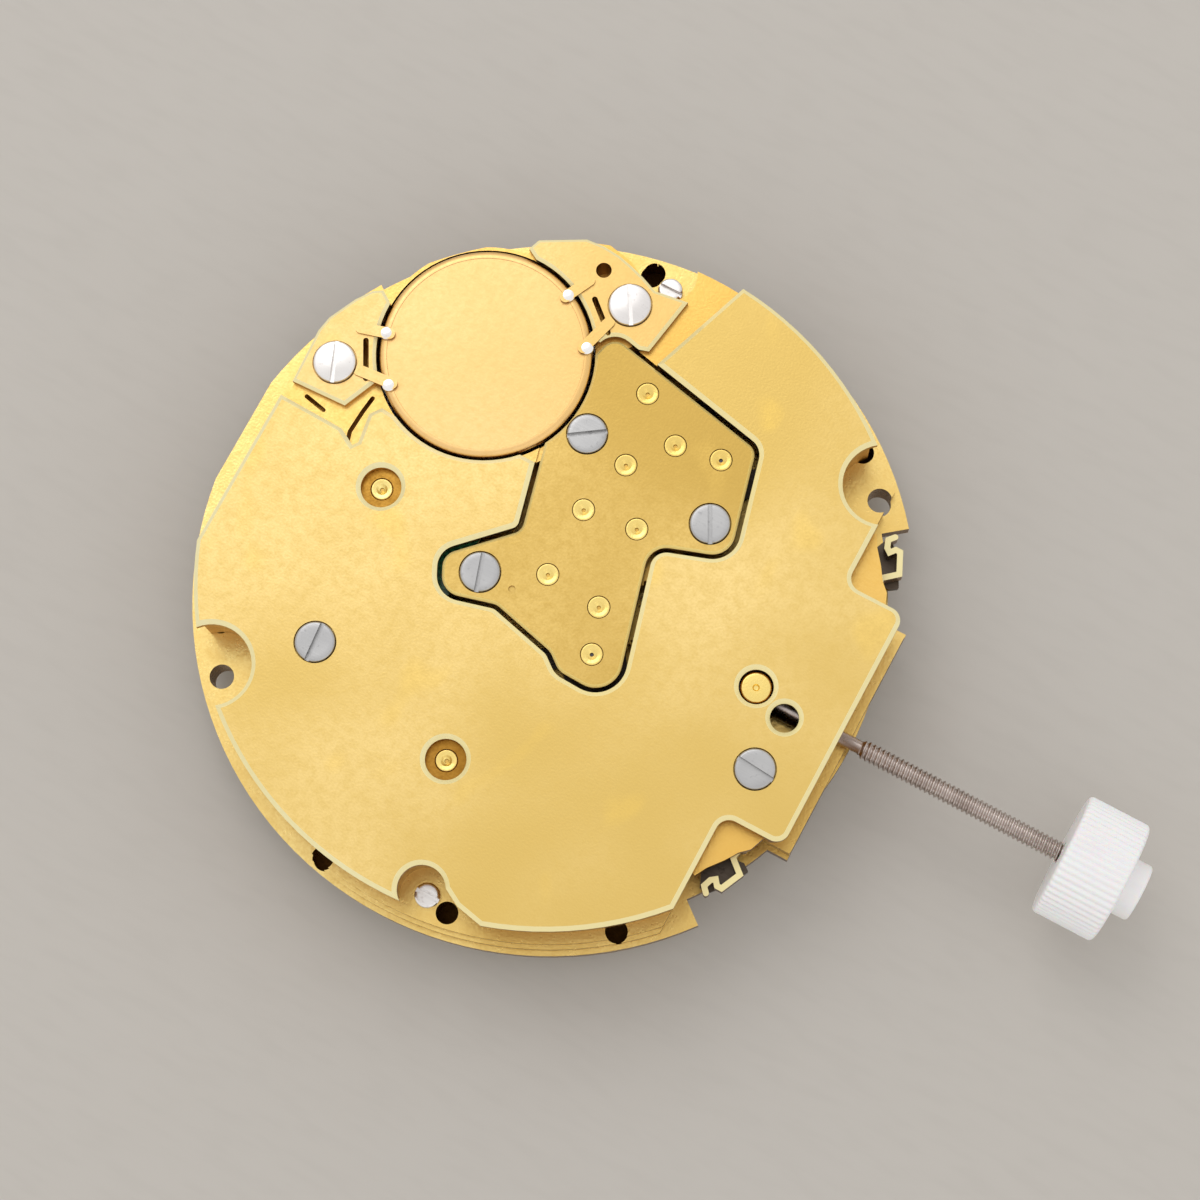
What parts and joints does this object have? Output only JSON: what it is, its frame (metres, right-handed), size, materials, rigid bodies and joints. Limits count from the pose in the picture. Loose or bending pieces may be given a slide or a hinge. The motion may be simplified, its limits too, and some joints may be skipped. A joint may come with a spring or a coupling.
{
  "type": "quartz watch movement",
  "caption": "Round gilt quartz chronograph movement, dial side down, with side battery, pierced bridge, sub-dial arbors, date ring and a threaded stem with a white crown.",
  "frame": {"origin": "centre of the hand arbors on the dial seat, the face of the main plate that the dial lies on", "axes": "+X along the winding stem towards the crown, +Z from the dial seat towards the train side, +Y towards the small seconds arbor"},
  "size_m": [0.045, 0.0324, 0.0071],
  "materials": {
    "gilt": "satin gilt",
    "gilt_side": "gilt, cast",
    "gilt_dark": "satin gilt, darker",
    "gilt_clamp": "bright gilt",
    "screw_steel": "blue-grey steel",
    "screw_pale": "pale plated steel",
    "steel": "bright steel",
    "battery_steel": "plain nickel that mirrors the gilt",
    "white_plastic": "white moulding",
    "dark_plastic": "moulded",
    "pale_plastic": "moulded",
    "clear_film": "thin film",
    "board_green": "solder mask",
    "copper": "enamelled wire",
    "wheel_brass": "polished",
    "magnet": "sintered",
    "cell_black": "packed powder",
    "ring_white": "printed plastic"
  },
  "bodies": {
    "movement": {"main_plate": "gilt_side", "train_frame": "gilt_side", "module_cover": "gilt", "train_bridge": "gilt_dark", "counter_bridge": "gilt_dark", "pivot_bushings": "wheel_brass", "module_cover_screws": "screw_steel", "train_bridge_screws": "screw_steel", "battery_clamp_screws": "screw_pale", "casing_screws": "screw_steel", "battery_clamp_left": "gilt_clamp", "battery_clamp_right": "gilt_clamp", "battery_can": "battery_steel", "battery_gasket": "dark_plastic", "battery_cap": "steel", "battery_cell": "cell_black", "battery_insulator": "clear_film", "negative_contact": "gilt_clamp", "circuit_board": "board_green", "ic_chip": "dark_plastic", "quartz_crystal": "steel", "coil_cores": "steel", "coil_windings": "copper", "stators": "steel", "date_ring_plate": "steel", "date_plate_screws": "screw_steel", "yoke": "steel"},
    "running_rotor": {"running_rotor": "magnet"},
    "running_intermediate": {"running_intermediate_wheel": "pale_plastic"},
    "small_seconds": {"small_seconds_wheel": "wheel_brass"},
    "third": {"third_wheel": "wheel_brass"},
    "transfer": {"transfer_wheel": "wheel_brass"},
    "minute_drive": {"minute_drive_wheel": "wheel_brass"},
    "centre_minute": {"centre_minute_wheel": "wheel_brass"},
    "chronograph_rotor": {"chronograph_rotor": "magnet"},
    "chronograph_intermediate": {"chronograph_intermediate_wheel": "pale_plastic"},
    "centre_seconds": {"centre_seconds_wheel": "wheel_brass"},
    "counter_rotor": {"counter_rotor": "magnet"},
    "counter_intermediate": {"counter_intermediate_wheel": "pale_plastic"},
    "minute_counter": {"minute_counter_wheel": "wheel_brass"},
    "cannon": {"cannon_pinion": "steel"},
    "minute_wheel": {"minute_wheel": "wheel_brass"},
    "hour_wheel": {"hour_wheel": "wheel_brass"},
    "day_hour_idler": {"day_hour_idler": "wheel_brass"},
    "day_hour": {"day_hour_wheel": "wheel_brass", "date_finger": "steel"},
    "setting_wheel": {"setting_wheel": "steel"},
    "date_ring": {"date_ring": "ring_white"},
    "date_jumper": {"date_jumper": "steel"},
    "setting_pinion": {"setting_pinion": "steel"},
    "stem": {"winding_stem": "steel", "crown": "white_plastic"},
    "setting_lever": {"setting_lever": "steel"},
    "button": {"release_button": "steel"},
    "start_contact": {"start_contact_spring": "gilt_clamp"},
    "start_lever": {"start_lever": "steel"},
    "reset_contact": {"reset_contact_spring": "gilt_clamp"},
    "reset_lever": {"reset_lever": "steel"}
  },
  "joints": [
    {"name": "running_rotor_turn", "type": "hinge", "parent": "movement", "child": "running_rotor", "pos_m": [0.00426, 0.00805, 0], "axis": [0, 0, 1], "continuous": true},
    {"name": "running_intermediate_turn", "type": "hinge", "parent": "movement", "child": "running_intermediate", "pos_m": [0.00219, 0.00769, 0], "axis": [0, 0, 1], "continuous": true},
    {"name": "small_seconds_turn", "type": "hinge", "parent": "movement", "child": "small_seconds", "pos_m": [0, 0.0092, 0], "axis": [0, 0, 1], "continuous": true},
    {"name": "third_turn", "type": "hinge", "parent": "movement", "child": "third", "pos_m": [0.00068, 0.00591, 0], "axis": [0, 0, 1], "continuous": true},
    {"name": "transfer_turn", "type": "hinge", "parent": "movement", "child": "transfer", "pos_m": [0.00246, 0.0036, 0], "axis": [0, 0, 1], "continuous": true},
    {"name": "minute_drive_turn", "type": "hinge", "parent": "movement", "child": "minute_drive", "pos_m": [0, 0.00327, 0], "axis": [0, 0, 1], "continuous": true},
    {"name": "centre_minute_turn", "type": "hinge", "parent": "movement", "child": "centre_minute", "pos_m": [0, 0, 0], "axis": [0, 0, 1], "continuous": true},
    {"name": "chronograph_rotor_turn", "type": "hinge", "parent": "movement", "child": "chronograph_rotor", "pos_m": [0.00337, -0.00221, 0], "axis": [0, 0, 1], "continuous": true},
    {"name": "chronograph_intermediate_turn", "type": "hinge", "parent": "movement", "child": "chronograph_intermediate", "pos_m": [0.00265, -0.00023, 0], "axis": [0, 0, 1], "continuous": true},
    {"name": "centre_seconds_turn", "type": "hinge", "parent": "movement", "child": "centre_seconds", "pos_m": [0, 0, 0], "axis": [0, 0, 1], "continuous": true},
    {"name": "counter_rotor_turn", "type": "hinge", "parent": "movement", "child": "counter_rotor", "pos_m": [0.0045, -0.00764, 0], "axis": [0, 0, 1], "continuous": true},
    {"name": "counter_intermediate_turn", "type": "hinge", "parent": "movement", "child": "counter_intermediate", "pos_m": [0.0025, -0.00829, 0], "axis": [0, 0, 1], "continuous": true},
    {"name": "minute_counter_turn", "type": "hinge", "parent": "movement", "child": "minute_counter", "pos_m": [0, -0.0092, 0], "axis": [0, 0, 1], "continuous": true},
    {"name": "minute_hand_turn", "type": "hinge", "parent": "movement", "child": "cannon", "pos_m": [0, 0, 0], "axis": [0, 0, 1], "continuous": true},
    {"name": "minute_wheel_turn", "type": "hinge", "parent": "movement", "child": "minute_wheel", "pos_m": [0.0029, 0, 0], "axis": [0, 0, 1], "continuous": true},
    {"name": "hour_hand_turn", "type": "hinge", "parent": "movement", "child": "hour_wheel", "pos_m": [0, 0, 0], "axis": [0, 0, 1], "continuous": true},
    {"name": "day_hour_idler_turn", "type": "hinge", "parent": "movement", "child": "day_hour_idler", "pos_m": [-0.0046, 0.00061, 0], "axis": [0, 0, 1], "continuous": true},
    {"name": "day_hour_hand_turn", "type": "hinge", "parent": "movement", "child": "day_hour", "pos_m": [-0.00835, 0, 0], "axis": [0, 0, 1], "continuous": true},
    {"name": "setting_wheel_turn", "type": "hinge", "parent": "movement", "child": "setting_wheel", "pos_m": [0.00568, 0, 0], "axis": [0, 0, 1], "continuous": true},
    {"name": "date_ring_turn", "type": "hinge", "parent": "movement", "child": "date_ring", "pos_m": [0, 0, 0], "axis": [0, 0, 1], "continuous": true},
    {"name": "date_jumper_swing", "type": "hinge", "parent": "movement", "child": "date_jumper", "pos_m": [0.00698, -0.00674, 0], "axis": [0, 0, 1], "range_deg": [0, 5], "stiffness_Nm_per_rad": 0.0005},
    {"name": "crown_turn", "type": "hinge", "parent": "movement", "child": "setting_pinion", "pos_m": [0.0088, 0, 0.00235], "axis": [1, 0, 0], "continuous": true},
    {"name": "stem_pull", "type": "slide", "parent": "setting_pinion", "child": "stem", "axis": [1, 0, 0], "range_m": [0, 0.00095]},
    {"name": "setting_lever_swing", "type": "hinge", "parent": "movement", "child": "setting_lever", "pos_m": [0.0096, 0.0029, 0], "axis": [0, 0, 1], "range_deg": [0, 20.4]},
    {"name": "release_button_press", "type": "slide", "parent": "movement", "child": "button", "axis": [0, 0, -1], "range_m": [0, 0.00025], "stiffness_N_per_m": 300},
    {"name": "start_contact_bend", "type": "hinge", "parent": "movement", "child": "start_contact", "pos_m": [0.01295, 0.0063, 0], "axis": [0, 0, 1], "range_deg": [0, 8], "stiffness_Nm_per_rad": 0.002},
    {"name": "start_lever_swing", "type": "hinge", "parent": "movement", "child": "start_lever", "pos_m": [0.012, 0.00635, 0], "axis": [0, 0, 1], "range_deg": [0, 5]},
    {"name": "reset_contact_bend", "type": "hinge", "parent": "movement", "child": "reset_contact", "pos_m": [0.01295, -0.0063, 0], "axis": [0, 0, -1], "range_deg": [0, 8], "stiffness_Nm_per_rad": 0.002},
    {"name": "reset_lever_swing", "type": "hinge", "parent": "movement", "child": "reset_lever", "pos_m": [0.012, -0.00635, 0], "axis": [0, 0, -1], "range_deg": [0, 5]}
  ],
  "couplings": [
    {"joint": "running_intermediate_turn", "follows": "running_rotor_turn", "ratio": -0.16667},
    {"joint": "small_seconds_turn", "follows": "running_rotor_turn", "ratio": 0.033333},
    {"joint": "third_turn", "follows": "running_rotor_turn", "ratio": -0.020833},
    {"joint": "transfer_turn", "follows": "running_rotor_turn", "ratio": 0.0069444},
    {"joint": "minute_drive_turn", "follows": "running_rotor_turn", "ratio": -0.0013889},
    {"joint": "centre_minute_turn", "follows": "running_rotor_turn", "ratio": 0.00055556},
    {"joint": "chronograph_intermediate_turn", "follows": "chronograph_rotor_turn", "ratio": -0.16667},
    {"joint": "centre_seconds_turn", "follows": "chronograph_rotor_turn", "ratio": 0.033333},
    {"joint": "counter_intermediate_turn", "follows": "counter_rotor_turn", "ratio": -0.16667},
    {"joint": "minute_counter_turn", "follows": "counter_rotor_turn", "ratio": 0.033333},
    {"joint": "minute_wheel_turn", "follows": "minute_hand_turn", "ratio": -0.33333},
    {"joint": "hour_hand_turn", "follows": "minute_hand_turn", "ratio": 0.083333},
    {"joint": "day_hour_idler_turn", "follows": "minute_hand_turn", "ratio": -0.083333},
    {"joint": "day_hour_hand_turn", "follows": "minute_hand_turn", "ratio": 0.041667},
    {"joint": "setting_wheel_turn", "follows": "minute_hand_turn", "ratio": 1.2},
    {"joint": "setting_lever_swing", "follows": "stem_pull", "rad_per_m": 368.88},
    {"joint": "start_lever_swing", "follows": "start_contact_bend", "ratio": 0.6},
    {"joint": "reset_lever_swing", "follows": "reset_contact_bend", "ratio": 0.6}
  ]
}
